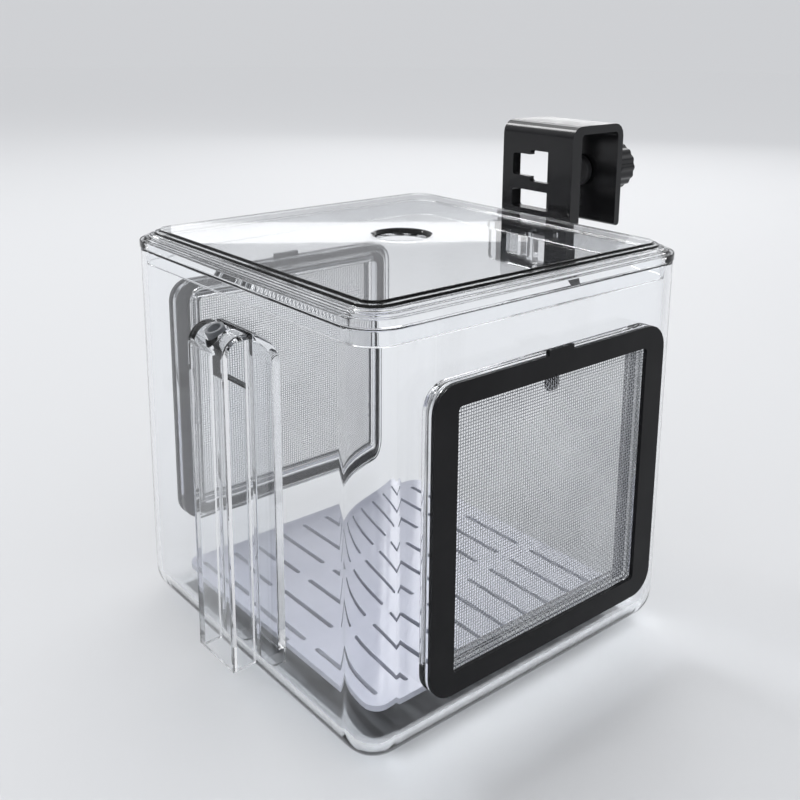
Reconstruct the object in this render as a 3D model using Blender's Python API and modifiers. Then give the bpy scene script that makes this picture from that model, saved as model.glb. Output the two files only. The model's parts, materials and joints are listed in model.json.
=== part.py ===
"""Fish breeding box: a clear tank that hangs on an aquarium's rim, with two woven wire windows,
a slotted floor plate, an air lift duct, a lid with a feeding hole and a black clamp hook.

Metres, +Z up. The origin is the centre of the tank's underside. +X faces the right wire window,
-Y the duct and +Y the aquarium glass that the hook grips.
"""

import math

import bmesh
import bpy

# Tank
BOX_WIDTH = 0.100
BOX_DEPTH = 0.100
BOX_HEIGHT = 0.0974
CORNER_RADIUS = 0.0088
WALL = 0.002
FLOOR_THICKNESS = 0.0025
BOTTOM_ROUND = 0.0085

# Clearances: the play between pieces that touch, and how far a cutter runs past its wall
CLEARANCE = 0.0003
OVERRUN = 0.003

# Lid
LID_OVERHANG = 0.00025
LID_EDGE = 0.002
LID_RISE = 0.0024
LID_BORDER = 0.005
LID_PLATE = 0.002
LID_STEPS = 4
SKIRT_DROP = 0.0043
SKIRT_WALL = 0.0016
FEED_HOLE_RADIUS = 0.0067
FEED_HOLE_CHAMFER = 0.0009

# Wire window cassettes: margins from the tank's edges, the bezel, the collar and the borders round the nets
PANEL_SIDE_MARGIN = 0.0135
PANEL_TOP_MARGIN = 0.0123
PANEL_RISE = 0.0124
PANEL_RADIUS = 0.006
BEZEL_THICKNESS = 0.001
FLANGE_THICKNESS = 0.002
SPIGOT_WALL = 0.0027
SPIGOT_RADIUS = 0.0035
TAB_WIDTH = 0.008
TAB_HEIGHT = 0.0012
SIDE_BORDER = 0.0065
END_BORDER = 0.0051
WINDOW_RADIUS = 0.001
NET_THICKNESS = 0.0004
NET_STRAND = 0.0009
NET_LAP = 0.0015
NET_GAPS = 11

# Floor plate
FOOT_HEIGHT = 0.0045
PLATE_THICKNESS = 0.0015
PLATE_SIDE_PLAY = 0.007
PLATE_CORNER_EASE = 0.0048
NOTCH_PLAY = 0.0006
SLOT_WIDTH = 0.0012
SLOT_PITCH = 0.008
SLOT_BRIDGE = 0.0045
SLOT_MARGIN = 0.004
SLOTS_PER_ROW = 3
FOOT_RADIUS = 0.003
FOOT_INSET = 0.014

# Air lift duct, astride the front wall
DUCT_WIDTH = 0.0156
DUCT_WALL = 0.0016
RISER_DEPTH = 0.0064
RETURN_DEPTH = 0.0075
DUCT_DROP = 0.0099
RISER_FOOT = 0.0063
RISER_ROUND = 0.0048
RETURN_ROUND = 0.009
PASSAGE_HEIGHT = 0.011
OUTFLOW_HEIGHT = 0.0035
AIRLINE_TILT = math.radians(24)
SLEEVE_BORE = 0.0015
SLEEVE_WALL = 0.0008
SLEEVE_LENGTH = 0.003
SLEEVE_STANDOUT = 0.0009

# Hanger stud and spacer on the back wall
HOOK_STANDOFF = 0.003
STUD_DROP = 0.008
STUD_NECK = 0.0057
STUD_HEAD_WIDTH = 0.0067
STUD_HEAD_HEIGHT = 0.0081
STUD_HEAD_THICKNESS = 0.0013
STUD_PAD_WIDTH = 0.018
STUD_PAD_HEIGHT = 0.012
STUD_PAD_ROUND = 0.0015
SPACER_GAP = 0.0019
SPACER_WIDTH = 0.006
SPACER_HEIGHT = 0.0044
SPACER_DROP = 0.0002
SPACER_ROUND = 0.0007

# Hook, with room for the glass and the clamp's pad between its legs
HOOK_OFFSET = -0.0041
HOOK_WIDTH = 0.0264
HOOK_RISE = 0.0289
HOOK_BRIDGE = 0.0023
HOOK_INNER_LEG = 0.0037
HOOK_OUTER_LEG = 0.0022
OUTER_LEG_LENGTH = 0.0296
LEG_END = 0.0012
GLASS_ROOM = 0.0131
HOOK_ROUND = 0.0036
HOOK_END_ROUND = 0.0009

# Keyholes in the hook's inner leg, cut to take the stud's neck and head
KEY_PLAY = 0.0003
KEY_END_PLAY = 0.0005
HEAD_PLAY = 0.0004
KEY_LEFT = 0.0092
KEY_PITCH = 0.0247
KEY_ROUND = 0.0008
POCKET_DEPTH = 0.0019
POCKET_PLAY = 0.0005
HOOK_WINDOW_HEIGHT = 0.0054
HOOK_WINDOW_RISE = 0.0149

# Clamp screw, its axis parallel to Y
CLAMP_DROP = 0.0147
SCREW_RADIUS = 0.0025
SCREW_CHAMFER = 0.0005
BUSH_WALL = 0.0012
BUSH_LIP = 0.0014
BUSH_FLANGE = 0.002
PAD_WALL = 0.0017
PAD_FACE = 0.0013
PAD_SOCKET = 0.0009
PAD_ROUND = 0.0004
KNOB_WALL = 0.0043
KNOB_LENGTH = 0.006
KNOB_FLUTE = 0.0004
KNOB_FLUTES = 16
KNOB_END_WALL = 0.0013
CLAMP_TRAVEL = 0.0055

# How finely round shapes are divided, and the angle past which an edge stays sharp
CORNER_STEPS = 8
SMALL_STEPS = 4
ROUND_STEPS = 28
FLUTE_STEPS = 6
SHARP_ANGLE = math.radians(30)

# A weld takes a small share of a plate's thickness, and a turned piece's seam the smallest distance used
WELD_SHARE = 0.02
MERGE = 0.00001

# Places that follow from the sizes above
BACK_WALL = BOX_DEPTH / 2
FRONT_WALL = -BOX_DEPTH / 2
SIDE_WALL = BOX_WIDTH / 2
FLOOR_REST = FLOOR_THICKNESS + CLEARANCE
INNER_ROUND = BOTTOM_ROUND - FLOOR_THICKNESS
PANEL_BOTTOM = FLOOR_THICKNESS + PANEL_RISE
PANEL_WIDTH = BOX_DEPTH - 2 * PANEL_SIDE_MARGIN
PANEL_HEIGHT = BOX_HEIGHT - PANEL_TOP_MARGIN - PANEL_BOTTOM
PANEL_CENTRE = PANEL_BOTTOM + PANEL_HEIGHT / 2
WINDOW_WIDTH = PANEL_WIDTH - 2 * SIDE_BORDER
WINDOW_HEIGHT = PANEL_HEIGHT - 2 * END_BORDER
SPIGOT_END = SIDE_WALL - WALL
FLANGE_BACK = SIDE_WALL + CLEARANCE
FLANGE_FRONT = FLANGE_BACK + FLANGE_THICKNESS
NET_PLACE = FLANGE_FRONT + CLEARANCE + NET_THICKNESS / 2
BEZEL_PLACE = NET_PLACE + NET_THICKNESS / 2 + CLEARANCE + BEZEL_THICKNESS / 2
PLATE_UNDERSIDE = FLOOR_REST + FOOT_HEIGHT + CLEARANCE
RISER_FRONT = FRONT_WALL - RISER_DEPTH
RETURN_BACK = FRONT_WALL + WALL + RETURN_DEPTH
DUCT_TOP = BOX_HEIGHT - DUCT_DROP
SLEEVE_RADIUS = SLEEVE_BORE + SLEEVE_WALL
PAD_THICKNESS = PAD_FACE + PAD_SOCKET
HOOK_FACE = BACK_WALL + HOOK_STANDOFF
HOOK_GRIP = HOOK_FACE + HOOK_INNER_LEG
HOOK_OUTER_FACE = HOOK_GRIP + GLASS_ROOM + PAD_THICKNESS + CLEARANCE
HOOK_BACK = HOOK_OUTER_FACE + HOOK_OUTER_LEG
HOOK_TOP = BOX_HEIGHT + HOOK_RISE
KEY_LOWER = BOX_HEIGHT - STUD_DROP
KEY_SLOT_LENGTH = STUD_NECK + 2 * KEY_END_PLAY
KEY_SLOT_HEIGHT = STUD_NECK + 2 * KEY_PLAY
KEY_WIDE_LENGTH = STUD_HEAD_WIDTH + 2 * HEAD_PLAY
KEY_WIDE_HEIGHT = STUD_HEAD_HEIGHT + 2 * HEAD_PLAY
KEY_START = HOOK_OFFSET - KEY_LEFT
KEY_SLOT_CENTRE = KEY_START + KEY_SLOT_LENGTH / 2
KEY_END = KEY_START + KEY_SLOT_LENGTH + KEY_WIDE_LENGTH
HEAD_START = HOOK_GRIP - POCKET_DEPTH + CLEARANCE
BORE_RADIUS = SCREW_RADIUS + CLEARANCE
BUSH_RADIUS = BORE_RADIUS + BUSH_WALL
BUSH_END = HOOK_BACK + CLEARANCE + BUSH_FLANGE
KNOB_START = BUSH_END + CLAMP_TRAVEL + CLEARANCE
PAD_BACK = HOOK_OUTER_FACE - CLEARANCE
PAD_FRONT = PAD_BACK - PAD_THICKNESS
CLAMP_HEIGHT = HOOK_TOP - CLAMP_DROP

# Turns that lay a flat outline's plane, or a turned piece's axis, along the tank's own axes
FACE_RIGHT = (math.pi / 2, 0.0, math.pi / 2)
FACE_LEFT = (math.pi / 2, 0.0, -math.pi / 2)
AXIS_TO_BACK = (-math.pi / 2, 0.0, 0.0)


def clear_scene():
    for obj in list(bpy.data.objects):
        bpy.data.objects.remove(obj, do_unlink=True)


def new_collection(name):
    collection = bpy.data.collections.new(name)
    bpy.context.scene.collection.children.link(collection)
    return collection


def material(name, colour, roughness, metallic=0.0, transmission=0.0):
    made = bpy.data.materials.new(name)
    made.use_nodes = True
    shader = made.node_tree.nodes["Principled BSDF"]
    shader.inputs["Base Color"].default_value = (*colour, 1.0)
    shader.inputs["Roughness"].default_value = roughness
    shader.inputs["Metallic"].default_value = metallic
    shader.inputs["Transmission Weight"].default_value = transmission
    return made


def add_object(name, mesh, location=(0.0, 0.0, 0.0), rotation=(0.0, 0.0, 0.0), surface=None):
    """A part in the box's collection, or a cutter where it has no surface."""
    obj = bpy.data.objects.new(name, mesh)
    obj.location = location
    obj.rotation_euler = rotation
    if surface is None:
        cutters.objects.link(obj)
        obj.hide_render = True
        obj.display_type = "WIRE"
        return obj
    parts.objects.link(obj)
    if not mesh.materials:
        mesh.materials.append(surface)
    return obj


def mesh_from(bm, name):
    bmesh.ops.recalc_face_normals(bm, faces=bm.faces[:])
    mesh = bpy.data.meshes.new(name)
    bm.to_mesh(mesh)
    bm.free()
    return mesh


def spans(edge, axis):
    """Whether a straight edge runs along one axis."""
    return abs(edge.verts[0].co[axis] - edge.verts[1].co[axis]) > edge.calc_length() / 2


def round_edges(bm, edges, radius, steps):
    bmesh.ops.bevel(bm, geom=edges, offset=radius, segments=steps, affect="EDGES", profile=0.5)


def block_mesh(name, size, radius=0.0, axis=2, steps=SMALL_STEPS):
    """A box about its own centre, with its edges along one axis rounded."""
    bm = bmesh.new()
    bmesh.ops.create_cube(bm, size=1.0)
    bmesh.ops.scale(bm, vec=size, verts=bm.verts[:])
    if radius > 0.0:
        round_edges(bm, [edge for edge in bm.edges if spans(edge, axis)], radius, steps)
    return mesh_from(bm, name)


def block_between(name, low, high, radius=0.0, axis=2, surface=None, steps=SMALL_STEPS):
    """The same box, given by its lowest and highest corners."""
    size = [b - a for a, b in zip(low, high)]
    centre = [(a + b) / 2 for a, b in zip(low, high)]
    return add_object(name, block_mesh(name, size, radius, axis, steps), centre, surface=surface)


def arc(centre, radius, start, end, steps):
    points = []
    for step in range(steps + 1):
        angle = start + (end - start) * step / steps
        points.append((centre[0] + radius * math.cos(angle), centre[1] + radius * math.sin(angle)))
    return points


def rounded_outline(half_width, half_height, radius, steps=CORNER_STEPS, centre=(0.0, 0.0)):
    """A rectangle's four rounded corners, each a list of points, from the top right one round to the left."""
    corners = []
    for quarter, (side, rise) in enumerate(((1, 1), (-1, 1), (-1, -1), (1, -1))):
        middle = (centre[0] + side * (half_width - radius), centre[1] + rise * (half_height - radius))
        corners.append(arc(middle, radius, quarter * math.pi / 2, (quarter + 1) * math.pi / 2, steps))
    return corners


def joined(corners):
    return [point for corner in corners for point in corner]


def flat_mesh(name, outlines, thickness):
    """A flat piece with holes: the first outline is its edge and the others are holes in it."""
    curve = bpy.data.curves.new(name, "CURVE")
    curve.dimensions = "2D"
    curve.fill_mode = "BOTH"
    curve.extrude = thickness / 2
    for outline in outlines:
        spline = curve.splines.new("POLY")
        spline.points.add(len(outline) - 1)
        for point, (across, up) in zip(spline.points, outline):
            point.co = (across, up, 0.0, 1.0)
        spline.use_cyclic_u = True
    guide = bpy.data.objects.new(name, curve)
    cutters.objects.link(guide)
    evaluated = guide.evaluated_get(bpy.context.evaluated_depsgraph_get())
    mesh = bpy.data.meshes.new_from_object(evaluated)
    bpy.data.objects.remove(guide, do_unlink=True)
    bm = bmesh.new()
    bm.from_mesh(mesh)
    bmesh.ops.remove_doubles(bm, verts=bm.verts[:], dist=thickness * WELD_SHARE)
    return mesh_from(bm, name)


def turned(name, profile, place, surface, closed=False):
    """A profile of (radius, height) points, turned about the local Z axis. place is (location, rotation)."""
    bm = bmesh.new()
    points = [bm.verts.new((radius, 0.0, height)) for radius, height in profile]
    for start, end in zip(points, points[1:]):
        bm.edges.new((start, end))
    if closed:
        bm.edges.new((points[-1], points[0]))
    mesh = bpy.data.meshes.new(name)
    bm.to_mesh(mesh)
    bm.free()
    obj = add_object(name, mesh, *place, surface=surface)
    screw = obj.modifiers.new("Turn", "SCREW")
    screw.axis = "Z"
    screw.angle = 2 * math.pi
    screw.steps = ROUND_STEPS
    screw.render_steps = ROUND_STEPS
    screw.use_merge_vertices = True
    screw.merge_threshold = MERGE
    return obj


def shape_with(obj, others, operation="DIFFERENCE"):
    for other in others:
        step = obj.modifiers.new(other.name, "BOOLEAN")
        step.operation = operation
        step.solver = "EXACT"
        step.object = other


def disc_mesh(name, radius, start, end):
    """A round block on the local Z axis, between two heights."""
    bm = bmesh.new()
    height = end - start
    bmesh.ops.create_cone(
        bm, cap_ends=True, segments=ROUND_STEPS, radius1=radius, radius2=radius, depth=height
    )
    bmesh.ops.translate(bm, vec=(0.0, 0.0, start + height / 2), verts=bm.verts[:])
    return mesh_from(bm, name)


# Tank, one moulding with its floor

def panel_outline():
    """The bezel's edge with the tab on its top, about the cassette's centre."""
    half_height = PANEL_HEIGHT / 2
    half_tab = TAB_WIDTH / 2
    corners = rounded_outline(PANEL_WIDTH / 2, half_height, PANEL_RADIUS)
    tab_top = half_height + TAB_HEIGHT
    tab = [(half_tab, half_height), (half_tab, tab_top), (-half_tab, tab_top), (-half_tab, half_height)]
    return corners[0] + tab + corners[1] + corners[2] + corners[3]


def window_outline():
    return rounded_outline(WINDOW_WIDTH / 2, WINDOW_HEIGHT / 2, WINDOW_RADIUS)


def spigot_outline(grow):
    """The edge of the collar's spigot, or the hole it passes, grown by a clearance."""
    reach = SPIGOT_WALL + grow
    return rounded_outline(WINDOW_WIDTH / 2 + reach, WINDOW_HEIGHT / 2 + reach, SPIGOT_RADIUS + grow)


def square_ring(bm, inset, height, radius):
    """A rounded rectangle of vertices, this far inside the tank's outer face."""
    corners = rounded_outline(SIDE_WALL - inset, BACK_WALL - inset, radius)
    return [bm.verts.new((x, y, height)) for x, y in joined(corners)]


def loft(bm, rings):
    """Faces from each ring of vertices to the next one."""
    for ring, following in zip(rings, rings[1:]):
        for index in range(len(ring)):
            after = (index + 1) % len(ring)
            bm.faces.new((ring[index], ring[after], following[after], following[index]))


def bowl(bm, inset, bottom, base_round):
    """The tank's outer or inner skin, ring by ring from the flat of its bottom up to the rim."""
    rings = []
    for step in range(CORNER_STEPS + 1):
        turn = math.pi / 2 * step / CORNER_STEPS
        inside = inset + base_round * (1 - math.sin(turn))
        height = bottom + base_round * (1 - math.cos(turn))
        rings.append(square_ring(bm, inside, height, CORNER_RADIUS - inside))
    rings.append(square_ring(bm, inset, BOX_HEIGHT, CORNER_RADIUS - inset))
    return rings


def make_tank():
    bm = bmesh.new()
    outside = bowl(bm, 0.0, 0.0, BOTTOM_ROUND)
    inside = bowl(bm, WALL, FLOOR_THICKNESS, INNER_ROUND)
    loft(bm, outside + inside[::-1])
    bm.faces.new(outside[0])
    bm.faces.new(inside[0])
    tank = add_object("tank_body", mesh_from(bm, "tank_body"), surface=clear_acrylic)
    outline = joined(spigot_outline(CLEARANCE))
    opening = flat_mesh("window_opening", [outline], WALL + 2 * OVERRUN)
    inset = SIDE_WALL - WALL / 2
    right = add_object("opening_right", opening, (inset, 0.0, PANEL_CENTRE), FACE_RIGHT)
    left = add_object("opening_left", opening, (-inset, 0.0, PANEL_CENTRE), FACE_LEFT)
    half = DUCT_WIDTH / 2 - DUCT_WALL
    passage_top = DUCT_TOP - DUCT_WALL - CLEARANCE
    passage = block_between(
        "duct_passage",
        (-half, FRONT_WALL - OVERRUN, passage_top - PASSAGE_HEIGHT),
        (half, FRONT_WALL + WALL + OVERRUN, passage_top),
    )
    shape_with(tank, (right, left, passage))


# Lid, lofted from its feeding hole out over the border and back under the skirt

def round_ring(bm, radius, height):
    count = 4 * (CORNER_STEPS + 1)
    first = math.pi / 4 - math.pi * CORNER_STEPS / count
    return [
        bm.verts.new((radius * math.cos(first + turn), radius * math.sin(first + turn), height))
        for turn in (2 * math.pi * step / count for step in range(count))
    ]


def make_lid():
    seat = BOX_HEIGHT + CLEARANCE
    edge_top = seat + LID_EDGE
    plate_top = edge_top + LID_RISE
    plate_under = plate_top - LID_PLATE
    skirt_out = WALL + CLEARANCE
    skirt_in = skirt_out + SKIRT_WALL
    bm = bmesh.new()
    rings = [
        round_ring(bm, FEED_HOLE_RADIUS, plate_top - FEED_HOLE_CHAMFER),
        round_ring(bm, FEED_HOLE_RADIUS + FEED_HOLE_CHAMFER, plate_top),
    ]
    inset = LID_BORDER - LID_OVERHANG
    height = plate_top
    rings.append(square_ring(bm, inset, height, CORNER_RADIUS - inset))
    for step in range(LID_STEPS):
        height -= LID_RISE / LID_STEPS
        rings.append(square_ring(bm, inset, height, CORNER_RADIUS - inset))
        inset -= LID_BORDER / LID_STEPS
        rings.append(square_ring(bm, inset, height, CORNER_RADIUS - inset))
    rings.append(square_ring(bm, -LID_OVERHANG, seat, CORNER_RADIUS + LID_OVERHANG))
    rings.append(square_ring(bm, skirt_out, seat, CORNER_RADIUS - skirt_out))
    rings.append(square_ring(bm, skirt_out, seat - SKIRT_DROP, CORNER_RADIUS - skirt_out))
    rings.append(square_ring(bm, skirt_in, seat - SKIRT_DROP, CORNER_RADIUS - skirt_in))
    rings.append(square_ring(bm, skirt_in, plate_under, CORNER_RADIUS - skirt_in))
    rings.append(round_ring(bm, FEED_HOLE_RADIUS, plate_under))
    loft(bm, rings + rings[:1])
    add_object("lid", mesh_from(bm, "lid"), surface=clear_acrylic)


# Wire window cassettes: a black bezel, the net and a clear collar, one set for each side

def net_mesh():
    """A square net: a grid whose cells are inset and emptied, then thickened by its object."""
    bm = bmesh.new()
    bmesh.ops.create_grid(bm, x_segments=NET_GAPS, y_segments=NET_GAPS, size=0.5)
    size = (WINDOW_WIDTH + 2 * NET_LAP, WINDOW_HEIGHT + 2 * NET_LAP, 1.0)
    bmesh.ops.scale(bm, vec=size, verts=bm.verts[:])
    cells = bm.faces[:]
    bmesh.ops.inset_individual(bm, faces=cells, thickness=NET_STRAND / 2, use_even_offset=True)
    bmesh.ops.delete(bm, geom=cells, context="FACES")
    mesh = bpy.data.meshes.new("wire_net")
    bm.to_mesh(mesh)
    bm.free()
    return mesh


def collar_mesh():
    """A flange on the wall and a spigot through it, lofted round the window; height is along the slide."""
    edge = joined(rounded_outline(PANEL_WIDTH / 2, PANEL_HEIGHT / 2, PANEL_RADIUS))
    spigot = joined(spigot_outline(0.0))
    window = joined(window_outline())
    steps = [
        (window, SPIGOT_END),
        (window, FLANGE_FRONT),
        (edge, FLANGE_FRONT),
        (edge, FLANGE_BACK),
        (spigot, FLANGE_BACK),
        (spigot, SPIGOT_END),
    ]
    bm = bmesh.new()
    rings = [[bm.verts.new((across, up, height)) for across, up in outline] for outline, height in steps]
    loft(bm, rings + rings[:1])
    return mesh_from(bm, "backing_ring")


def make_cassettes():
    bezel = flat_mesh("bezel", [panel_outline(), joined(window_outline())], BEZEL_THICKNESS)
    collar = collar_mesh()
    net = net_mesh()
    for side, sign, turn in (("right", 1, FACE_RIGHT), ("left", -1, FACE_LEFT)):
        add_object("mesh_frame_" + side, bezel, (sign * BEZEL_PLACE, 0.0, PANEL_CENTRE), turn, black_plastic)
        add_object("backing_ring_" + side, collar, (0.0, 0.0, PANEL_CENTRE), turn, clear_acrylic)
        woven = add_object("wire_mesh_" + side, net, (sign * NET_PLACE, 0.0, PANEL_CENTRE), turn, steel_wire)
        thicken = woven.modifiers.new("Wire thickness", "SOLIDIFY")
        thicken.thickness = NET_THICKNESS
        thicken.offset = 0.0


# Slotted floor plate on four feet

def plate_outline():
    half_x = SIDE_WALL - WALL - PLATE_SIDE_PLAY
    half_y = BACK_WALL - WALL - PLATE_SIDE_PLAY
    corners = rounded_outline(half_x, half_y, CORNER_RADIUS - PLATE_CORNER_EASE)
    half_notch = DUCT_WIDTH / 2 + NOTCH_PLAY
    notch_back = RETURN_BACK + NOTCH_PLAY
    notch = [(-half_notch, -half_y), (-half_notch, notch_back)]
    notch += [(half_notch, notch_back), (half_notch, -half_y)]
    return corners[0] + corners[1] + corners[2] + notch + corners[3], half_x, half_y


def plate_slots(half_x, half_y):
    first = SLOT_MARGIN - half_y
    rows = int((half_y - SLOT_MARGIN - first) / SLOT_PITCH) + 1
    start = -half_x + SLOT_MARGIN
    length = (2 * (half_x - SLOT_MARGIN) - (SLOTS_PER_ROW - 1) * SLOT_BRIDGE) / SLOTS_PER_ROW
    slots = []
    for row in range(rows):
        middle = first + row * SLOT_PITCH
        for place in range(SLOTS_PER_ROW):
            left = start + place * (length + SLOT_BRIDGE)
            corners = rounded_outline(
                length / 2, SLOT_WIDTH / 2, SLOT_WIDTH / 2, steps=2, centre=(left + length / 2, middle)
            )
            slots.append(joined(corners))
    return slots


def make_floor_plate():
    edge, half_x, half_y = plate_outline()
    mesh = flat_mesh("floor_plate", [edge] + plate_slots(half_x, half_y), PLATE_THICKNESS)
    middle = PLATE_UNDERSIDE + PLATE_THICKNESS / 2
    add_object("floor_plate", mesh, (0.0, 0.0, middle), surface=frosted_plate)
    mesh = disc_mesh("plate_foot", FOOT_RADIUS, 0.0, FOOT_HEIGHT)
    for side, across in (("left", -1), ("right", 1)):
        for end, along in (("front", -1), ("back", 1)):
            place = (across * (half_x - FOOT_INSET), along * (half_y - FOOT_INSET), FLOOR_REST)
            add_object("plate_foot_" + end + "_" + side, mesh, place, surface=soft_silicone)


# Air lift duct: the riser outside the front wall, the return inside it

def arch_outline(foot, wall_side, outer_side, top, corner_round):
    """One leg and its part of the arch, from the foot's points round to the arch's cut at the wall."""
    inward = math.copysign(1.0, wall_side - outer_side)
    centre = outer_side + inward * corner_round
    past = inward * (wall_side - centre)
    start = math.pi if inward > 0 else 0.0
    end = math.acos(inward * min(past, 0.0) / corner_round)
    outline = foot + arc((centre, top - corner_round), corner_round, start, end, CORNER_STEPS)
    if past > 0.0:
        outline.append((wall_side, top))
    return outline


def make_channel(name, foot, wall_side, outer_side, corner_round):
    """A channel open at its foot and along the wall; foot is its lower edge from the wall outwards."""
    outline = arch_outline(foot, wall_side, outer_side, DUCT_TOP, corner_round)
    mesh = flat_mesh(name, [outline], DUCT_WIDTH)
    channel = add_object(name, mesh, (0.0, 0.0, 0.0), FACE_RIGHT, clear_acrylic)
    inward = math.copysign(1.0, wall_side - outer_side)
    open_side = wall_side + inward * OVERRUN
    inner_face = outer_side + inward * DUCT_WALL
    below = foot[-1][1] - OVERRUN
    hollow = arch_outline(
        [(open_side, below), (inner_face, below)],
        open_side,
        inner_face,
        DUCT_TOP - DUCT_WALL,
        corner_round - DUCT_WALL,
    )
    cutter = flat_mesh(name + "_bore", [hollow], DUCT_WIDTH - 2 * DUCT_WALL)
    shape_with(channel, [add_object(name + "_bore", cutter, (0.0, 0.0, 0.0), FACE_RIGHT)])
    return channel


def make_duct():
    outer_face = FRONT_WALL - CLEARANCE
    riser_foot = [(outer_face, RISER_FOOT), (RISER_FRONT, RISER_FOOT)]
    riser = make_channel("riser_channel", riser_foot, outer_face, RISER_FRONT, RISER_ROUND)
    turn = (FRONT_WALL + WALL + INNER_ROUND, FLOOR_THICKNESS + INNER_ROUND)
    return_foot = arc(turn, INNER_ROUND - CLEARANCE, math.pi, 3 * math.pi / 2, CORNER_STEPS)
    return_foot.append((RETURN_BACK, FLOOR_REST))
    inner_face = FRONT_WALL + WALL + CLEARANCE
    back = make_channel("return_channel", return_foot, inner_face, RETURN_BACK, RETURN_ROUND)
    half = DUCT_WIDTH / 2 - DUCT_WALL
    outflow = block_between(
        "outflow",
        (-half, RETURN_BACK - DUCT_WALL - OVERRUN, FLOOR_REST - OVERRUN),
        (half, RETURN_BACK + OVERRUN, FLOOR_REST + OUTFLOW_HEIGHT),
    )
    shape_with(back, [outflow])
    crown = RISER_ROUND + SLEEVE_STANDOUT
    inner_end = crown - SLEEVE_LENGTH
    place = ((0.0, RISER_FRONT + RISER_ROUND, DUCT_TOP - RISER_ROUND), (AIRLINE_TILT, 0.0, 0.0))
    hole = disc_mesh("airline_hole", SLEEVE_RADIUS + CLEARANCE, inner_end - OVERRUN, crown + OVERRUN)
    shape_with(riser, [add_object("airline_hole", hole, *place)])
    profile = [
        (SLEEVE_BORE, crown),
        (SLEEVE_RADIUS, crown),
        (SLEEVE_RADIUS, inner_end),
        (SLEEVE_BORE, inner_end),
    ]
    turned("airline_sleeve", profile, place, soft_silicone, closed=True)


# Hanger stud and spacer, bonded to the back wall

def make_hanger():
    pad_front = BACK_WALL + CLEARANCE
    pad_back = HOOK_FACE - CLEARANCE
    half_pad = STUD_PAD_WIDTH / 2
    stud = block_between(
        "hanger_stud",
        (KEY_SLOT_CENTRE - half_pad, pad_front, KEY_LOWER - STUD_PAD_HEIGHT / 2),
        (KEY_SLOT_CENTRE + half_pad, pad_back, KEY_LOWER + STUD_PAD_HEIGHT / 2),
        STUD_PAD_ROUND,
        axis=1,
        surface=clear_acrylic,
    )
    half_neck = STUD_NECK / 2
    head_end = HEAD_START + STUD_HEAD_THICKNESS
    neck = block_between(
        "stud_neck",
        (KEY_SLOT_CENTRE - half_neck, (pad_front + pad_back) / 2, KEY_LOWER - half_neck),
        (KEY_SLOT_CENTRE + half_neck, (HEAD_START + head_end) / 2, KEY_LOWER + half_neck),
    )
    head = block_between(
        "stud_head",
        (KEY_SLOT_CENTRE - STUD_HEAD_WIDTH / 2, HEAD_START, KEY_LOWER - STUD_HEAD_HEIGHT / 2),
        (KEY_SLOT_CENTRE + STUD_HEAD_WIDTH / 2, head_end, KEY_LOWER + STUD_HEAD_HEIGHT / 2),
        KEY_ROUND,
        axis=1,
    )
    shape_with(stud, (neck, head), "UNION")
    spacer_left = KEY_SLOT_CENTRE + half_pad + SPACER_GAP
    spacer_top = BOX_HEIGHT - SPACER_DROP
    block_between(
        "spacer_block",
        (spacer_left, pad_front, spacer_top - SPACER_HEIGHT),
        (spacer_left + SPACER_WIDTH, pad_back, spacer_top),
        SPACER_ROUND,
        axis=1,
        surface=clear_acrylic,
    )


# Hook: one strap over the aquarium's rim, keyholes in its inner leg and the clamp in its outer leg

def hook_outline():
    under = HOOK_TOP - HOOK_BRIDGE
    inner_round = HOOK_ROUND - HOOK_BRIDGE
    inner_foot = KEY_LOWER - KEY_WIDE_HEIGHT / 2 - POCKET_PLAY - LEG_END
    outer_foot = HOOK_TOP - OUTER_LEG_LENGTH + HOOK_END_ROUND
    throat_start = (HOOK_GRIP + inner_round, under - inner_round)
    throat_end = (HOOK_OUTER_FACE - inner_round, under - inner_round)
    end_start = (HOOK_OUTER_FACE + HOOK_END_ROUND, outer_foot)
    end_finish = (HOOK_BACK - HOOK_END_ROUND, outer_foot)
    shoulder = HOOK_TOP - HOOK_ROUND
    quarter = math.pi / 2
    outline = [(HOOK_FACE, inner_foot), (HOOK_GRIP, inner_foot)]
    outline += arc(throat_start, inner_round, 2 * quarter, quarter, SMALL_STEPS)
    outline += arc(throat_end, inner_round, quarter, 0.0, SMALL_STEPS)
    outline += arc(end_start, HOOK_END_ROUND, 2 * quarter, 3 * quarter, SMALL_STEPS)
    outline += arc(end_finish, HOOK_END_ROUND, 3 * quarter, 4 * quarter, SMALL_STEPS)
    outline += arc((HOOK_BACK - HOOK_ROUND, shoulder), HOOK_ROUND, 0.0, quarter, SMALL_STEPS)
    outline += arc((HOOK_FACE + HOOK_ROUND, shoulder), HOOK_ROUND, quarter, 2 * quarter, SMALL_STEPS)
    return outline


def leg_cut(name, left, right, height, half_height, front=HOOK_FACE - OVERRUN):
    """A rounded hole through the hook's inner leg, or a pocket in it where it starts further back."""
    low = (left, front, height - half_height)
    high = (right, HOOK_GRIP + OVERRUN, height + half_height)
    return block_between(name, low, high, KEY_ROUND, axis=1)


def keyhole_cutters(name, height):
    """A narrow slot that opens into a wide hole, with a pocket for the stud's head on the glass side."""
    middle = KEY_START + KEY_SLOT_LENGTH
    half_wide = KEY_WIDE_HEIGHT / 2
    lip_back = HOOK_GRIP - POCKET_DEPTH
    slot = leg_cut(name + "_slot", KEY_START, middle + KEY_ROUND, height, KEY_SLOT_HEIGHT / 2)
    wide = leg_cut(name + "_wide", middle, KEY_END, height, half_wide)
    pocket = leg_cut(
        name + "_pocket",
        KEY_START - POCKET_PLAY,
        KEY_END + POCKET_PLAY,
        height,
        half_wide + POCKET_PLAY,
        front=lip_back,
    )
    return [slot, wide, pocket]


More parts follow.
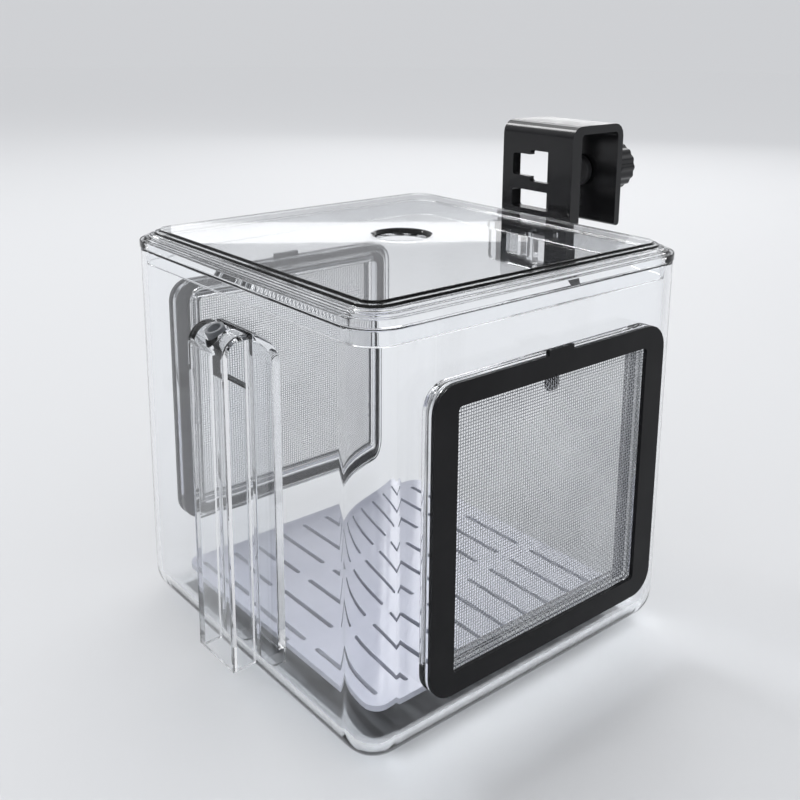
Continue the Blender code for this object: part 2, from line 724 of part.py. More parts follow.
def make_hook():
    mesh = flat_mesh("hook_bracket", [hook_outline()], HOOK_WIDTH)
    hook = add_object("hook_bracket", mesh, (HOOK_OFFSET, 0.0, 0.0), FACE_RIGHT, black_plastic)
    lower = keyhole_cutters("lower_key", KEY_LOWER)
    upper = keyhole_cutters("upper_key", KEY_LOWER + KEY_PITCH)
    window_height = KEY_LOWER + HOOK_WINDOW_RISE
    window = leg_cut("hook_window", KEY_START, KEY_END, window_height, HOOK_WINDOW_HEIGHT / 2)
    hole = disc_mesh("bush_hole", BUSH_RADIUS + CLEARANCE, HOOK_OUTER_FACE - OVERRUN, HOOK_BACK + OVERRUN)
    bush_hole = add_object("bush_hole", hole, (HOOK_OFFSET, 0.0, CLAMP_HEIGHT), AXIS_TO_BACK)
    shape_with(hook, lower + upper + [window, bush_hole])


# Clamp: threaded bush, screw, fluted knob and the pad that meets the glass, all on one axis

def make_clamp():
    place = ((HOOK_OFFSET, 0.0, CLAMP_HEIGHT), AXIS_TO_BACK)
    flange_start = HOOK_BACK + CLEARANCE
    bush = [
        (BORE_RADIUS, BUSH_END),
        (BUSH_RADIUS + BUSH_LIP, BUSH_END),
        (BUSH_RADIUS + BUSH_LIP, flange_start),
        (BUSH_RADIUS, flange_start),
        (BUSH_RADIUS, HOOK_OUTER_FACE),
        (BORE_RADIUS, HOOK_OUTER_FACE),
    ]
    turned("clamp_bush", bush, place, black_plastic, closed=True)
    socket = PAD_FRONT + PAD_FACE
    pad_radius = BORE_RADIUS + PAD_WALL
    pad = [
        (0.0, socket - CLEARANCE),
        (BORE_RADIUS, socket - CLEARANCE),
        (BORE_RADIUS, PAD_BACK),
        (pad_radius, PAD_BACK),
        (pad_radius, PAD_FRONT + PAD_ROUND),
        (pad_radius - PAD_ROUND, PAD_FRONT),
        (0.0, PAD_FRONT),
    ]
    turned("clamp_pad", pad, place, soft_silicone)
    bore_end = KNOB_START + KNOB_LENGTH - KNOB_END_WALL
    screw_end = bore_end - CLEARANCE
    tip_radius = SCREW_RADIUS - SCREW_CHAMFER
    screw = [
        (0.0, screw_end),
        (tip_radius, screw_end),
        (SCREW_RADIUS, screw_end - SCREW_CHAMFER),
        (SCREW_RADIUS, socket + SCREW_CHAMFER),
        (tip_radius, socket),
        (0.0, socket),
    ]
    turned("clamp_screw", screw, place, black_plastic)
    make_knob(place, bore_end)


def make_knob(place, bore_end):
    crest = BORE_RADIUS + KNOB_WALL
    count = KNOB_FLUTES * FLUTE_STEPS
    outline = []
    for step in range(count):
        angle = 2 * math.pi * step / count
        radius = crest - KNOB_FLUTE * (1 - math.cos(KNOB_FLUTES * angle)) / 2
        outline.append((radius * math.cos(angle), radius * math.sin(angle)))
    axis, turn = place
    centre = (axis[0], KNOB_START + KNOB_LENGTH / 2, axis[2])
    mesh = flat_mesh("clamp_knob", [outline], KNOB_LENGTH)
    knob = add_object("clamp_knob", mesh, centre, turn, black_plastic)
    bore = disc_mesh("knob_bore", BORE_RADIUS, KNOB_START - OVERRUN, bore_end)
    shape_with(knob, [add_object("knob_bore", bore, *place)])


def shade_rounds():
    """Each part becomes its finished mesh, smooth over its rounds and sharp at its corners."""
    graph = bpy.context.evaluated_depsgraph_get()
    finished = [bpy.data.meshes.new_from_object(obj.evaluated_get(graph)) for obj in parts.objects]
    for obj, mesh in zip(parts.objects, finished):
        mesh.shade_smooth()
        mesh.set_sharp_from_angle(angle=SHARP_ANGLE)
        obj.modifiers.clear()
        obj.data = mesh


clear_scene()
parts = new_collection("fish_breeding_box")
cutters = new_collection("cutters")
clear_acrylic = material("clear_acrylic", (0.95, 0.97, 1.0), 0.03, transmission=1.0)
black_plastic = material("black_plastic", (0.02, 0.02, 0.022), 0.35)
frosted_plate = material("frosted_plate", (0.62, 0.63, 0.68), 0.45)
steel_wire = material("steel_wire", (0.62, 0.63, 0.65), 0.3, metallic=1.0)
soft_silicone = material("soft_silicone", (0.8, 0.82, 0.85), 0.5)

make_tank()
make_lid()
make_cassettes()
make_floor_plate()
make_duct()
make_hanger()
make_hook()
make_clamp()
shade_rounds()
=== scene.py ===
# %% [markdown]
# # A clear fish breeding box, dressed for a picture
#
# The box hangs on an aquarium's rim and keeps young fish apart. Its frame comes from a finished CAD
# model: every piece below is placed by that model's own corners, so nothing has to be fitted by eye.
# The work here is the look: polished acrylic with rounded edges, a net woven from single wires, a
# satin black hook and a ribbed knob.

import json
import math

import bmesh
import bpy
from mathutils import Euler, Matrix, Vector


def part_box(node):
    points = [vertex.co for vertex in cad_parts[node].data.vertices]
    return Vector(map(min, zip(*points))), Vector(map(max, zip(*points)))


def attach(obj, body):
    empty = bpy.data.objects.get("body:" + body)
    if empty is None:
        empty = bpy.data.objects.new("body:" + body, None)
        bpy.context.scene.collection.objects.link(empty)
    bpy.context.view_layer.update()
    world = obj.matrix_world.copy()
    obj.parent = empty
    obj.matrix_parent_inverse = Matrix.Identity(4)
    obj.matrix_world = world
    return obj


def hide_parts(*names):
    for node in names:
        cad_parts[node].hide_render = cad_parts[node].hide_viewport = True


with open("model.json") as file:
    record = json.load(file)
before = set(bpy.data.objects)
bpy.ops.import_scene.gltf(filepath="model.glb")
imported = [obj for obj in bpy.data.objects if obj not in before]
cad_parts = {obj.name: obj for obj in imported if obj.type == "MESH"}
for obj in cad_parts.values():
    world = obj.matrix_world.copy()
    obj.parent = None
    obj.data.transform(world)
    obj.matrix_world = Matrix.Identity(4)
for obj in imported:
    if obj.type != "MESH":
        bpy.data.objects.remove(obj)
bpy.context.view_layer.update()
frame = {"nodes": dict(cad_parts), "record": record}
MM = 0.001

# %% [markdown]
# ## The camera
#
# The photograph looks down on one upright corner. Its edges give the lens and the place: a short tele
# view from just above the lid. The picture's centre sits below the lens axis, which keeps the uprights
# almost parallel, so the camera has a vertical shift in place of part of its tilt. A larger shift would
# match the photograph still better, but seen from another side it would cut the hook off.

# %% Camera
CAMERA_PLACE = (0.19328, -0.16092, 0.15529)
CAMERA_YAW = math.radians(50.30)
CAMERA_PITCH = math.radians(13.18)
CAMERA_ROLL = math.radians(0.40)
LENS = 46.05
SENSOR = 36.0
SHIFT_DOWN = -0.18
NEAREST = 0.01
FARTHEST = 100.0

view = bpy.data.cameras.new("view")
view.lens = LENS
view.sensor_width = SENSOR
view.shift_y = SHIFT_DOWN
view.clip_start = NEAREST
view.clip_end = FARTHEST
camera = bpy.data.objects.new("camera", view)
camera.location = CAMERA_PLACE
turn = Euler((math.pi / 2 - CAMERA_PITCH, 0.0, CAMERA_YAW)).to_matrix()
camera.rotation_euler = (turn @ Matrix.Rotation(CAMERA_ROLL, 3, "Z")).to_euler()
bpy.context.scene.collection.objects.link(camera)
bpy.context.scene.camera = camera
bpy.context.scene.view_settings.view_transform = "Standard"
print("camera at", [round(value, 3) for value in camera.location])

# %% [markdown]
# ## The floor
#
# The floor is one large pale disc. A disc that ends at the horizon leaves a dark line across the
# picture, so its rim is extruded far out and upwards: the far floor then hides the horizon from every
# view that looks down on the box, and no backdrop is needed.

# %% Floor
FLOOR_FLAT = 3.0
FLOOR_REACH = 40.0
FLOOR_RISE = 4.0
FLOOR_SIDES = 96
FLOOR_COLOUR = (0.60, 0.605, 0.615, 1.0)
FLOOR_ROUGHNESS = 0.6


def plain_material(name, colour, roughness):
    made = bpy.data.materials.new(name)
    made.use_nodes = True
    shader = made.node_tree.nodes["Principled BSDF"]
    shader.inputs["Base Color"].default_value = colour
    shader.inputs["Roughness"].default_value = roughness
    return made


def mesh_object(name, bm):
    mesh = bpy.data.meshes.new(name)
    bm.to_mesh(mesh)
    bm.free()
    made = bpy.data.objects.new(name, mesh)
    bpy.context.scene.collection.objects.link(made)
    return made


bm = bmesh.new()
bmesh.ops.create_circle(bm, cap_ends=True, segments=FLOOR_SIDES, radius=FLOOR_FLAT)
rim = [edge for edge in bm.edges if edge.is_boundary]
grown = bmesh.ops.extrude_edge_only(bm, edges=rim)["geom"]
far = [item for item in grown if isinstance(item, bmesh.types.BMVert)]
bmesh.ops.scale(bm, vec=(FLOOR_REACH / FLOOR_FLAT, FLOOR_REACH / FLOOR_FLAT, 1.0), verts=far)
bmesh.ops.translate(bm, vec=(0.0, 0.0, FLOOR_RISE), verts=far)
floor = mesh_object("floor", bm)
floor.data.materials.append(plain_material("pale_floor", FLOOR_COLOUR, FLOOR_ROUGHNESS))
print("floor reaches", FLOOR_REACH, "m and rises", FLOOR_RISE, "m")

# %% [markdown]
# ## The sky
#
# Clear acrylic shows only what it bends and mirrors, and under an even sky it would vanish. This sky is
# dark at the horizon and pale overhead, so edges that look sideways turn grey and those that look up
# stay bright. The height of the direction that a ray takes drives a colour ramp.

# %% Sky
SKY_LOW = (0.17, 0.175, 0.19, 1.0)
SKY_HIGH = (0.88, 0.89, 0.91, 1.0)
SKY_LOW_HEIGHT = 0.05
SKY_HIGH_HEIGHT = 0.6

sky = bpy.data.worlds.new("sky")
sky.use_nodes = True
bpy.context.scene.world = sky
nodes = sky.node_tree.nodes
links = sky.node_tree.links
place = nodes.new("ShaderNodeTexCoord")
height = nodes.new("ShaderNodeSeparateXYZ")
ramp = nodes.new("ShaderNodeValToRGB")
ramp.color_ramp.elements[0].color = SKY_LOW
ramp.color_ramp.elements[1].color = SKY_HIGH
ramp.color_ramp.elements[0].position = SKY_LOW_HEIGHT
ramp.color_ramp.elements[1].position = SKY_HIGH_HEIGHT
links.new(place.outputs["Generated"], height.inputs["Vector"])
links.new(height.outputs["Z"], ramp.inputs["Fac"])
links.new(ramp.outputs["Color"], nodes["Background"].inputs["Color"])
print("sky ramp from", SKY_LOW_HEIGHT, "to", SKY_HIGH_HEIGHT)

# %% [markdown]
# ## The lamps
#
# A lamp does two things here: it lights, and it is mirrored. The key lamp is small, so that the hook's
# rounded top shows it as a band. The lid is seen at a flat angle and mirrors only what stands low
# behind the box, so a thin strip there draws the white band round the feeding hole, and a second one
# whitens the hook's top. Wide weak daylight lights near and far floor alike, which no near lamp can do.

# %% Lamps
LAMP_AIM = Vector((0.0, 0.0, 0.05))
DAYLIGHT_FROM = Vector((-0.4, 0.2, 1.0))
DAYLIGHT_STRENGTH = 0.7
DAYLIGHT_WIDTH = math.radians(50)


def lamp_object(light, place, direction):
    """The lamp in its place, shining against this direction."""
    lamp = bpy.data.objects.new(light.name, light)
    lamp.location = place
    lamp.rotation_euler = direction.to_track_quat("Z", "Y").to_euler()
    bpy.context.scene.collection.objects.link(lamp)


def soft_lamp(name, place, width, length, power):
    """A rectangular lamp that faces the box."""
    light = bpy.data.lights.new(name, "AREA")
    light.shape = "RECTANGLE"
    light.size = width
    light.size_y = length
    light.energy = power
    lamp_object(light, place, Vector(place) - LAMP_AIM)


soft_lamp("key_lamp", (-0.70, -0.12, 0.90), width=0.26, length=0.26, power=2.8)
soft_lamp("back_lamp", (-0.45, 0.75, 0.55), width=0.6, length=0.35, power=1.3)
soft_lamp("fill_lamp", (0.75, -0.65, 0.5), width=0.6, length=0.6, power=0.6)
soft_lamp("lid_strip", (-0.82, 0.60, 0.315), width=0.45, length=0.026, power=0.032)
soft_lamp("hook_strip", (-0.72, 0.80, 0.235), width=0.7, length=0.05, power=0.32)
daylight = bpy.data.lights.new("daylight", "SUN")
daylight.energy = DAYLIGHT_STRENGTH
daylight.angle = DAYLIGHT_WIDTH
lamp_object(daylight, Vector(), DAYLIGHT_FROM)
print("lamps:", sorted(light.name for light in bpy.data.lights))

# %% [markdown]
# ## Shared surface effects
#
# Two effects turn up in nearly every finish, so each is a node group with its own values: a fine grain
# that gives moulded plastic its satin break-up, and faint smudges that keep polished faces from looking
# like computer glass. A group gives out only numbers and normals, and the shader stays in the material.

# %% Helpers for node groups
NOISE_LOW = 0.3
NOISE_HIGH = 0.7


def new_group(name, inputs, outputs):
    """A shader node group with named sockets. Each input is (name, default)."""
    group = bpy.data.node_groups.new(name, "ShaderNodeTree")
    for label, default in inputs:
        socket = group.interface.new_socket(label, in_out="INPUT", socket_type="NodeSocketFloat")
        socket.default_value = default
    for label, kind in outputs:
        group.interface.new_socket(label, in_out="OUTPUT", socket_type=kind)
    start = group.nodes.new("NodeGroupInput")
    end = group.nodes.new("NodeGroupOutput")
    return group, start, end


def noise(tree, vector, scale, detail, roughness):
    made = tree.nodes.new("ShaderNodeTexNoise")
    made.inputs["Scale"].default_value = scale
    made.inputs["Detail"].default_value = detail
    made.inputs["Roughness"].default_value = roughness
    tree.links.new(vector, made.inputs["Vector"])
    return made.outputs["Fac"]


def spread(tree, value, low, high):
    """Maps the middle of a noise, where most of it lies, to a range given by numbers or sockets."""
    made = tree.nodes.new("ShaderNodeMapRange")
    made.inputs["From Min"].default_value = NOISE_LOW
    made.inputs["From Max"].default_value = NOISE_HIGH
    tree.links.new(value, made.inputs["Value"])
    for label, bound in (("To Min", low), ("To Max", high)):
        if isinstance(bound, (int, float)):
            made.inputs[label].default_value = bound
        else:
            tree.links.new(bound, made.inputs[label])
    return made.outputs["Result"]


print("noise spread from", NOISE_LOW, "to", NOISE_HIGH)

# %% Grain and smudge groups
BUMP_HEIGHT = 0.1 * MM


def make_grain():
    group, start, end = new_group(
        "moulded_grain",
        [("Scale", 900.0), ("Height", 0.02)],
        [("Normal", "NodeSocketVector")],
    )
    place = group.nodes.new("ShaderNodeTexCoord")
    bumps = noise(group, place.outputs["Object"], scale=1.0, detail=3.0, roughness=0.6)
    group.links.new(start.outputs["Scale"], bumps.node.inputs["Scale"])
    bump = group.nodes.new("ShaderNodeBump")
    bump.inputs["Distance"].default_value = BUMP_HEIGHT
    group.links.new(start.outputs["Height"], bump.inputs["Strength"])
    group.links.new(bumps, bump.inputs["Height"])
    group.links.new(bump.outputs["Normal"], end.inputs["Normal"])
    return group


def make_smudge():
    group, start, end = new_group(
        "handled_smudge",
        [("Scale", 40.0), ("Clean", 0.02), ("Smudged", 0.12)],
        [("Roughness", "NodeSocketFloat")],
    )
    place = group.nodes.new("ShaderNodeTexCoord")
    broad = noise(group, place.outputs["Object"], scale=1.0, detail=4.0, roughness=0.65)
    group.links.new(start.outputs["Scale"], broad.node.inputs["Scale"])
    value = spread(group, broad, start.outputs["Clean"], start.outputs["Smudged"])
    group.links.new(value, end.inputs["Roughness"])
    return group


grain_group = make_grain()
smudge_group = make_smudge()
print("node groups:", [group.name for group in bpy.data.node_groups])

# %% [markdown]
# ## Clear acrylic
#
# Cast acrylic bends light a little less than glass, with an index near 1.49, and its polish is never
# perfect: a long, shallow waviness from the mould breaks up straight reflections. Light from lamps has
# to reach the plate and the net inside, so rays that look for a lamp pass straight through. Several
# clear faces lie one behind the other here, and in a bright room each mirrors a little of it, which greys
# what is inside. The tint of the straight-on mirroring is therefore set low, and flat angles stay bright.

# %% Acrylic
ACRYLIC_TINT = (0.985, 0.992, 1.0)
ACRYLIC_INDEX = 1.49
MIRROR_TINT = (0.42, 0.42, 0.43, 1.0)
SHADOW_TINT = (0.93, 0.94, 0.95, 1.0)


def use_group(tree, group, **values):
    made = tree.nodes.new("ShaderNodeGroup")
    made.node_tree = group
    for label, value in values.items():
        made.inputs[label].default_value = value
    return made


def surfaced(name, colour, clean, smudged, patch, grain_scale, grain_height):
    """A material with smudges in its roughness and a grain in its normal."""
    made = plain_material(name, (*colour, 1.0), clean)
    tree = made.node_tree
    shader = tree.nodes["Principled BSDF"]
    smudge = use_group(tree, smudge_group, Scale=patch, Clean=clean, Smudged=smudged)
    tree.links.new(smudge.outputs["Roughness"], shader.inputs["Roughness"])
    grain = use_group(tree, grain_group, Scale=grain_scale, Height=grain_height)
    tree.links.new(grain.outputs["Normal"], shader.inputs["Normal"])
    return made, tree, shader


def acrylic(name):
    made, tree, shader = surfaced(
        name, ACRYLIC_TINT, clean=0.0, smudged=0.03, patch=35.0, grain_scale=60.0, grain_height=0.05
    )
    shader.inputs["IOR"].default_value = ACRYLIC_INDEX
    shader.inputs["Transmission Weight"].default_value = 1.0
    shader.inputs["Specular Tint"].default_value = MIRROR_TINT
    path = tree.nodes.new("ShaderNodeLightPath")
    through = tree.nodes.new("ShaderNodeBsdfTransparent")
    through.inputs["Color"].default_value = SHADOW_TINT
    either = tree.nodes.new("ShaderNodeMixShader")
    tree.links.new(path.outputs["Is Shadow Ray"], either.inputs["Fac"])
    tree.links.new(shader.outputs["BSDF"], either.inputs[1])
    tree.links.new(through.outputs["BSDF"], either.inputs[2])
    tree.links.new(either.outputs["Shader"], tree.nodes["Material Output"].inputs["Surface"])
    return made


clear = acrylic("clear_acrylic_polished")
print("acrylic index:", ACRYLIC_INDEX)

# %% [markdown]
# ## Plastic, wire, silicone and rubber
#
# The hook is near-black plastic with a satin face, and the net's frames are the same but duller. The
# floor plate is a pale lavender grey with a glossy coat. The wire is plain stainless steel. The plate's
# feet are milky silicone, the airline's sleeve is a smoky one, and the clamp's pad is black rubber. One
# flat colour never looks moulded, so each finish drifts between two near shades, as mould flow and
# handling leave it, and the roughness and the grain change over the surface too.

# %% Other finishes
SMUDGE_PATCH = 60.0


def finish(name, pale, dark, drift_scale, clean, smudged, grain_scale, grain_height, **sockets):
    """A finish whose colour drifts from pale to dark. Other sockets are named with _ for a space."""
    made, tree, shader = surfaced(name, pale, clean, smudged, SMUDGE_PATCH, grain_scale, grain_height)
    place = tree.nodes.new("ShaderNodeTexCoord")
    clouds = noise(tree, place.outputs["Object"], drift_scale, detail=5.0, roughness=0.6)
    drift = spread(tree, clouds, low=0.0, high=1.0)
    blend = tree.nodes.new("ShaderNodeMix")
    blend.data_type = "RGBA"
    tree.links.new(drift, blend.inputs["Factor"])
    blend.inputs["A"].default_value = (*pale, 1.0)
    blend.inputs["B"].default_value = (*dark, 1.0)
    tree.links.new(blend.outputs["Result"], shader.inputs["Base Color"])
    for label, value in sockets.items():
        shader.inputs[label.replace("_", " ")].default_value = value
    return made


satin_black = finish(
    "satin_black", pale=(0.007, 0.007, 0.008), dark=(0.013, 0.013, 0.014), drift_scale=120.0,
    clean=0.14, smudged=0.24, grain_scale=2600.0, grain_height=0.03, Specular_IOR_Level=0.40,
)
frame_black = finish(
    "frame_black", pale=(0.007, 0.007, 0.008), dark=(0.012, 0.012, 0.013), drift_scale=90.0,
    clean=0.26, smudged=0.40, grain_scale=1500.0, grain_height=0.04, Specular_IOR_Level=0.14,
)
plate_grey = finish(
    "plate_grey", pale=(0.54, 0.55, 0.63), dark=(0.46, 0.47, 0.55), drift_scale=45.0,
    clean=0.06, smudged=0.16, grain_scale=900.0, grain_height=0.02, Coat_Weight=0.6, Coat_Roughness=0.05,
)
wire = finish(
    "stainless_wire", pale=(0.50, 0.51, 0.53), dark=(0.36, 0.37, 0.39), drift_scale=70.0,
    clean=0.24, smudged=0.40, grain_scale=4000.0, grain_height=0.02, Metallic=1.0,
)
milky_silicone = finish(
    "milky_silicone", pale=(0.76, 0.78, 0.82), dark=(0.68, 0.70, 0.75), drift_scale=150.0,
    clean=0.38, smudged=0.52, grain_scale=1200.0, grain_height=0.04,
)
smoky_silicone = finish(
    "smoky_silicone", pale=(0.28, 0.29, 0.31), dark=(0.20, 0.21, 0.23), drift_scale=150.0,
    clean=0.30, smudged=0.44, grain_scale=1200.0, grain_height=0.04, Transmission_Weight=0.6,
)
black_rubber = finish(
    "black_rubber", pale=(0.018, 0.018, 0.020), dark=(0.030, 0.030, 0.032), drift_scale=200.0,
    clean=0.48, smudged=0.62, grain_scale=1800.0, grain_height=0.06,
)
print("materials:", sorted(item.name for item in bpy.data.materials))

# %% [markdown]
# ## Softened copies of the moulded pieces
#
# No moulded edge is a knife edge. The CAD solids have the right shape but sharp corners, and light only
# catches a corner that is round. Each moulded piece could be drawn again from nothing, yet its solid is
# already exact, so a copy is merged into one skin, its flat triangles are joined into whole faces, and
# every corner gets a narrow round. Area-weighted normals then keep the large faces flat.

# %% Put a piece in a node's place
body_of = {
    node: body for body, members in frame["record"]["behaviour"]["bodies"].items() for node in members
}


def placed(piece, node, surface):
    """The piece stands for the node: same body, its own finish."""
    piece.data.materials.clear()
    piece.data.materials.append(surface)
    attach(piece, body_of[node])
    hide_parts(node)
    return piece


# %% Soften a copy of a node
MERGE = 0.001 * MM
FLAT = math.radians(0.4)
CORNER = math.radians(35)
FULL_WEIGHT = 100


def eased(bm, width, segments, clamp_overlap=True):
    """Rounds every corner sharper than CORNER, and returns how many there were."""
    sharp = [edge for edge in bm.edges if edge.is_manifold and edge.calc_face_angle() > CORNER]
    bmesh.ops.bevel(
        bm,
        geom=sharp,
        offset=width,
        segments=segments,
        profile=0.5,
        affect="EDGES",
        material=-1,
        clamp_overlap=clamp_overlap,
    )
    return len(sharp)


def smooth_object(name, bm):
    """The finished mesh as an object: smooth over its rounds, with its large faces kept flat."""
    for face in bm.faces:
        face.smooth = True
    piece = mesh_object(name, bm)
    weigh = piece.modifiers.new("Flat faces", "WEIGHTED_NORMAL")
    weigh.weight = FULL_WEIGHT
    return piece


def softened(node, surface, width, segments=3):
    bm = bmesh.new()
    bm.from_mesh(frame["nodes"][node].data)
    bmesh.ops.remove_doubles(bm, verts=bm.verts[:], dist=MERGE)
    bmesh.ops.dissolve_limit(bm, angle_limit=FLAT, verts=bm.verts[:], edges=bm.edges[:])
    corners = eased(bm, width, segments)
    piece = placed(smooth_object(node + "_softened", bm), node, surface)
    print(node, "corners rounded:", corners, "faces:", len(piece.data.polygons))


print("corners over", round(math.degrees(CORNER)), "degrees get a round")

# %% [markdown]
# ## Tank, lid and duct
#
# The tank and the lid are thin mouldings, so their rounds are small. The lid's border climbs to its
# plateau in low ridges, and each ridge needs its own round to draw the bright parallel lines that a
# lamp leaves on it.

# %% Clear pieces
softened("tank_body", clear, 0.35 * MM)
softened("lid", clear, 0.32 * MM, segments=4)
softened("riser_channel", clear, 0.3 * MM)
softened("return_channel", clear, 0.3 * MM)
softened("hanger_stud", clear, 0.25 * MM)
softened("spacer_block", clear, 0.25 * MM)
softened("backing_ring_right", clear, 0.45 * MM)
softened("backing_ring_left", clear, 0.45 * MM)

# %% [markdown]
# ## Frames, hook and soft pieces
#
# The black frames are thin and crisp. The strap of the hook is thicker and has softer corners, which is
# where its long white glints come from. The knob's ribs stay fine, so only its rims are eased.

# %% Black and soft pieces
softened("mesh_frame_right", frame_black, 0.22 * MM)
softened("mesh_frame_left", frame_black, 0.22 * MM)
softened("hook_bracket", satin_black, 0.45 * MM)
softened("clamp_bush", satin_black, 0.3 * MM)
softened("clamp_knob", satin_black, 0.5 * MM)
softened("clamp_pad", black_rubber, 0.25 * MM)
softened("airline_sleeve", smoky_silicone, 0.2 * MM)
softened("floor_plate", plate_grey, 0.35 * MM)
for end_name in ("front", "back"):
    for side_name in ("left", "right"):
        softened("plate_foot_" + end_name + "_" + side_name, milky_silicone, 0.4 * MM)

# %% [markdown]
# ## The woven net
#
# The real net is plain-woven stainless wire, finer than the CAD net that stands in for it. A picture of
# a weave on a flat sheet would lose its depth and its sparkle, and a true wave along each wire costs too
# many faces. A zigzag of square wire passes over and under at every crossing, and at this size it looks
# the same: one wire is extruded crossing by crossing, copied across, and the set is turned for the rest.

# %% Weave the wires
NET_PITCH = 0.7 * MM
WIRE_RADIUS = 0.12 * MM
WEAVE_RISE = 0.1 * MM


def vertices(items):
    return [item for item in items if isinstance(item, bmesh.types.BMVert)]


def one_wire(bm, gaps, half):
    """A square wire along X that rises and falls once at each crossing, with closed ends."""
    bmesh.ops.create_circle(bm, segments=4, radius=WIRE_RADIUS)
    bmesh.ops.rotate(bm, matrix=Matrix.Rotation(math.pi / 2, 3, "Y"), verts=bm.verts[:])
    bmesh.ops.translate(bm, vec=(-half, -half, WEAVE_RISE), verts=bm.verts[:])
    front = bm.edges[:]
    for crossing in range(gaps):
        grown = bmesh.ops.extrude_edge_only(bm, edges=front)["geom"]
        drop = WEAVE_RISE * (2 if crossing % 2 else -2)
        moved = vertices(grown)
        bmesh.ops.translate(bm, vec=(NET_PITCH, 0.0, drop), verts=moved)
        front = [edge for edge in grown if isinstance(edge, bmesh.types.BMEdge) and edge.is_boundary]
        front = [edge for edge in front if all(vert in moved for vert in edge.verts)]
    ends = [edge for edge in bm.edges if edge.is_boundary]
    bmesh.ops.holes_fill(bm, edges=ends, sides=4)


def all_wires(bm, gaps):
    """Copies the wire across, every second one upside down, and then the whole set turned."""
    first = bm.verts[:] + bm.edges[:] + bm.faces[:]
    for row in range(1, gaps + 1):
        copied = vertices(bmesh.ops.duplicate(bm, geom=first)["geom"])
        if row % 2:
            bmesh.ops.scale(bm, vec=(1.0, 1.0, -1.0), verts=copied)
        bmesh.ops.translate(bm, vec=(0.0, row * NET_PITCH, 0.0), verts=copied)
    along = bm.verts[:] + bm.edges[:] + bm.faces[:]
    across = vertices(bmesh.ops.duplicate(bm, geom=along)["geom"])
    bmesh.ops.rotate(bm, matrix=Matrix.Rotation(math.pi / 2, 3, "Z"), verts=across)
    bmesh.ops.scale(bm, vec=(1.0, 1.0, -1.0), verts=across)


print("one net gap in mm:", round(NET_PITCH / MM, 2))

# %% Both nets
def woven_net(node):
    low, high = [Vector(corner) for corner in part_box(node)]
    reach = (high.y - low.y) / 2 - WIRE_RADIUS
    gaps = 2 * int(reach / NET_PITCH)
    bm = bmesh.new()
    one_wire(bm, gaps, gaps / 2 * NET_PITCH)
    all_wires(bm, gaps)
    stand = Matrix.Rotation(math.pi / 2, 3, "Z") @ Matrix.Rotation(math.pi / 2, 3, "X")
    bmesh.ops.rotate(bm, matrix=stand, verts=bm.verts[:])
    bmesh.ops.translate(bm, vec=(low + high) / 2, verts=bm.verts[:])
    bmesh.ops.recalc_face_normals(bm, faces=bm.faces[:])
    piece = placed(mesh_object(node + "_woven", bm), node, wire)
    print(node, "wires each way:", gaps + 1, "faces:", len(piece.data.polygons))


woven_net("wire_mesh_right")
woven_net("wire_mesh_left")

# %% [markdown]
# ## The frames' catches
#
# A small dark catch shows behind each net, under the middle of the frame's top bar. It is a block with
# a smaller step below it. A cube could be joined to a second one, but then a seam would run between
# them, so the block's own lower face is inset and drawn down, and all corners are eased. The bevel's
# clamp against overlaps is off there, because it would narrow the rounds next to the small step.

# %% Catch behind each net
CATCH_DEPTH = 1.6 * MM
CATCH_WIDTH = 3.2 * MM
CATCH_DROP = 3.4 * MM
CATCH_STEP = 0.4 * MM
CATCH_LIP = 0.8 * MM
CATCH_EASE = 0.15 * MM
CATCH_PLAY = 0.15 * MM
CATCH_RISE = 30.0 * MM


def frame_catch(side, sign):
    net_low, net_high = [Vector(corner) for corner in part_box("wire_mesh_" + side)]
    net_face = min(abs(net_low.x), abs(net_high.x)) - CATCH_PLAY
    top = (net_low.z + net_high.z) / 2 + CATCH_RISE
    bm = bmesh.new()
    bmesh.ops.create_cube(bm, size=1.0)
    bmesh.ops.scale(bm, vec=(CATCH_DEPTH, CATCH_WIDTH, CATCH_DROP), verts=bm.verts[:])
    foot = [face for face in bm.faces if face.normal.z < -0.5]
    bmesh.ops.inset_region(bm, faces=foot, thickness=CATCH_STEP)
    grown = bmesh.ops.extrude_face_region(bm, geom=foot)["geom"]
    bmesh.ops.translate(bm, vec=(0.0, 0.0, -CATCH_LIP), verts=vertices(grown))
    bmesh.ops.delete(bm, geom=foot, context="FACES")
    bmesh.ops.remove_doubles(bm, verts=bm.verts[:], dist=MERGE)
    eased(bm, CATCH_EASE, segments=2, clamp_overlap=False)
    place = (sign * (net_face - CATCH_DEPTH / 2), 0.0, top - CATCH_DROP / 2)
    bmesh.ops.translate(bm, vec=place, verts=bm.verts[:])
    bmesh.ops.recalc_face_normals(bm, faces=bm.faces[:])
    piece = smooth_object("frame_catch_" + side, bm)
    piece.data.materials.append(frame_black)
    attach(piece, body_of["mesh_frame_" + side])
    print("catch", side, "faces:", len(piece.data.polygons))


frame_catch("right", 1)
frame_catch("left", -1)

# %% [markdown]
# ## The clamp's thread
#
# In CAD the screw is a plain rod, so that it turns without snagging. The real one has a coarse thread.
# A thread is a short saw-tooth carried round the axis while it climbs, so one tooth's outline is spun
# with a rise per step, its turns are welded, and both ends are cut square and closed.

# %% Spin the thread
THREAD_PITCH = 1.0 * MM
THREAD_DEPTH = 0.5 * MM
THREAD_STEPS = 24
CREST_START_SHARE = 0.4
CREST_END_SHARE = 0.6
TURNS_BEFORE = 2
SPARE_TURNS = 3


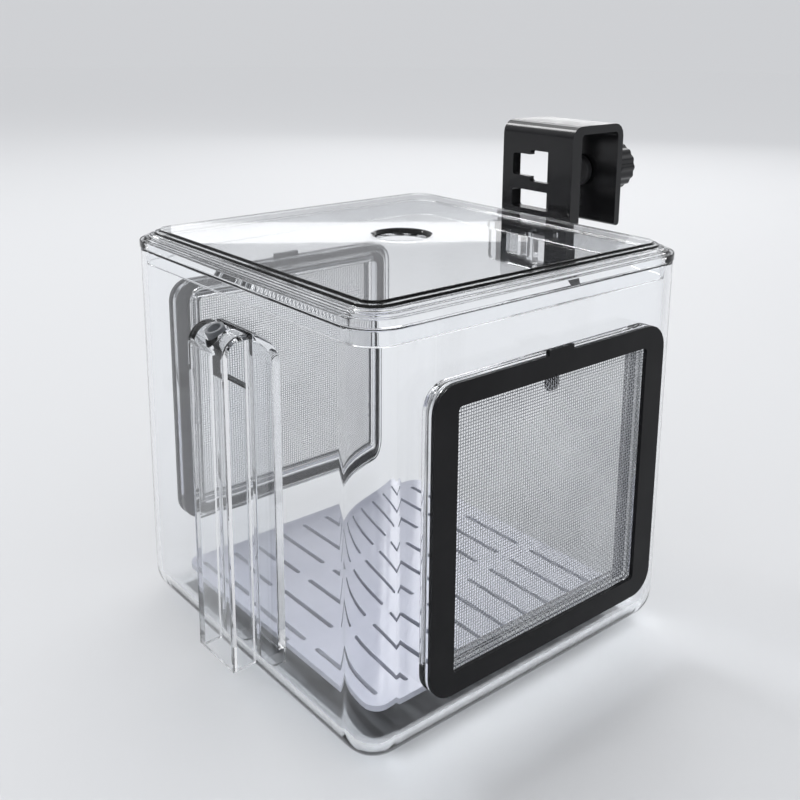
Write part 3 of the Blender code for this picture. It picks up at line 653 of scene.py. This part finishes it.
def spun_thread(bm, crest, turns):
    """One tooth's outline carried round the Z axis while it climbs, with its turns welded."""
    root = crest - THREAD_DEPTH
    rises = ((root, 0.0), (crest, CREST_START_SHARE), (crest, CREST_END_SHARE), (root, 1.0))
    outline = [bm.verts.new((radius, 0.0, share * THREAD_PITCH)) for radius, share in rises]
    edges = [bm.edges.new(pair) for pair in zip(outline, outline[1:])]
    bmesh.ops.spin(
        bm,
        geom=outline + edges,
        cent=(0.0, 0.0, 0.0),
        axis=(0.0, 0.0, 1.0),
        dvec=(0.0, 0.0, THREAD_PITCH / THREAD_STEPS),
        angle=2 * math.pi * turns,
        steps=THREAD_STEPS * turns,
        use_merge=False,
        use_duplicate=False,
    )
    bmesh.ops.remove_doubles(bm, verts=bm.verts[:], dist=MERGE)


def cut_square(bm, height, outward):
    """Cuts off what lies past a height and closes the end."""
    bmesh.ops.bisect_plane(
        bm,
        geom=bm.verts[:] + bm.edges[:] + bm.faces[:],
        plane_co=(0.0, 0.0, height),
        plane_no=(0.0, 0.0, outward),
        clear_outer=True,
    )
    rim = [edge for edge in bm.edges if edge.is_boundary]
    rim = [edge for edge in rim if all(abs(vert.co.z - height) < MERGE for vert in edge.verts)]
    bmesh.ops.edgeloop_fill(bm, edges=rim)


print("thread pitch in mm:", round(THREAD_PITCH / MM, 2))

# %% The screw
def threaded_screw(node):
    low, high = [Vector(corner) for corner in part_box(node)]
    axis = (low + high) / 2
    turns = int((high.y - low.y) / THREAD_PITCH) + SPARE_TURNS
    bm = bmesh.new()
    spun_thread(bm, (high.x - low.x) / 2, turns)
    bmesh.ops.translate(bm, vec=(0.0, 0.0, low.y - TURNS_BEFORE * THREAD_PITCH), verts=bm.verts[:])
    cut_square(bm, low.y, -1.0)
    cut_square(bm, high.y, 1.0)
    bmesh.ops.rotate(bm, matrix=Matrix.Rotation(-math.pi / 2, 3, "X"), verts=bm.verts[:])
    bmesh.ops.translate(bm, vec=(axis.x, 0.0, axis.z), verts=bm.verts[:])
    bmesh.ops.recalc_face_normals(bm, faces=bm.faces[:])
    piece = placed(mesh_object("clamp_screw_threaded", bm), node, satin_black)
    print(node, "turns:", turns, "faces:", len(piece.data.polygons))


threaded_screw("clamp_screw")
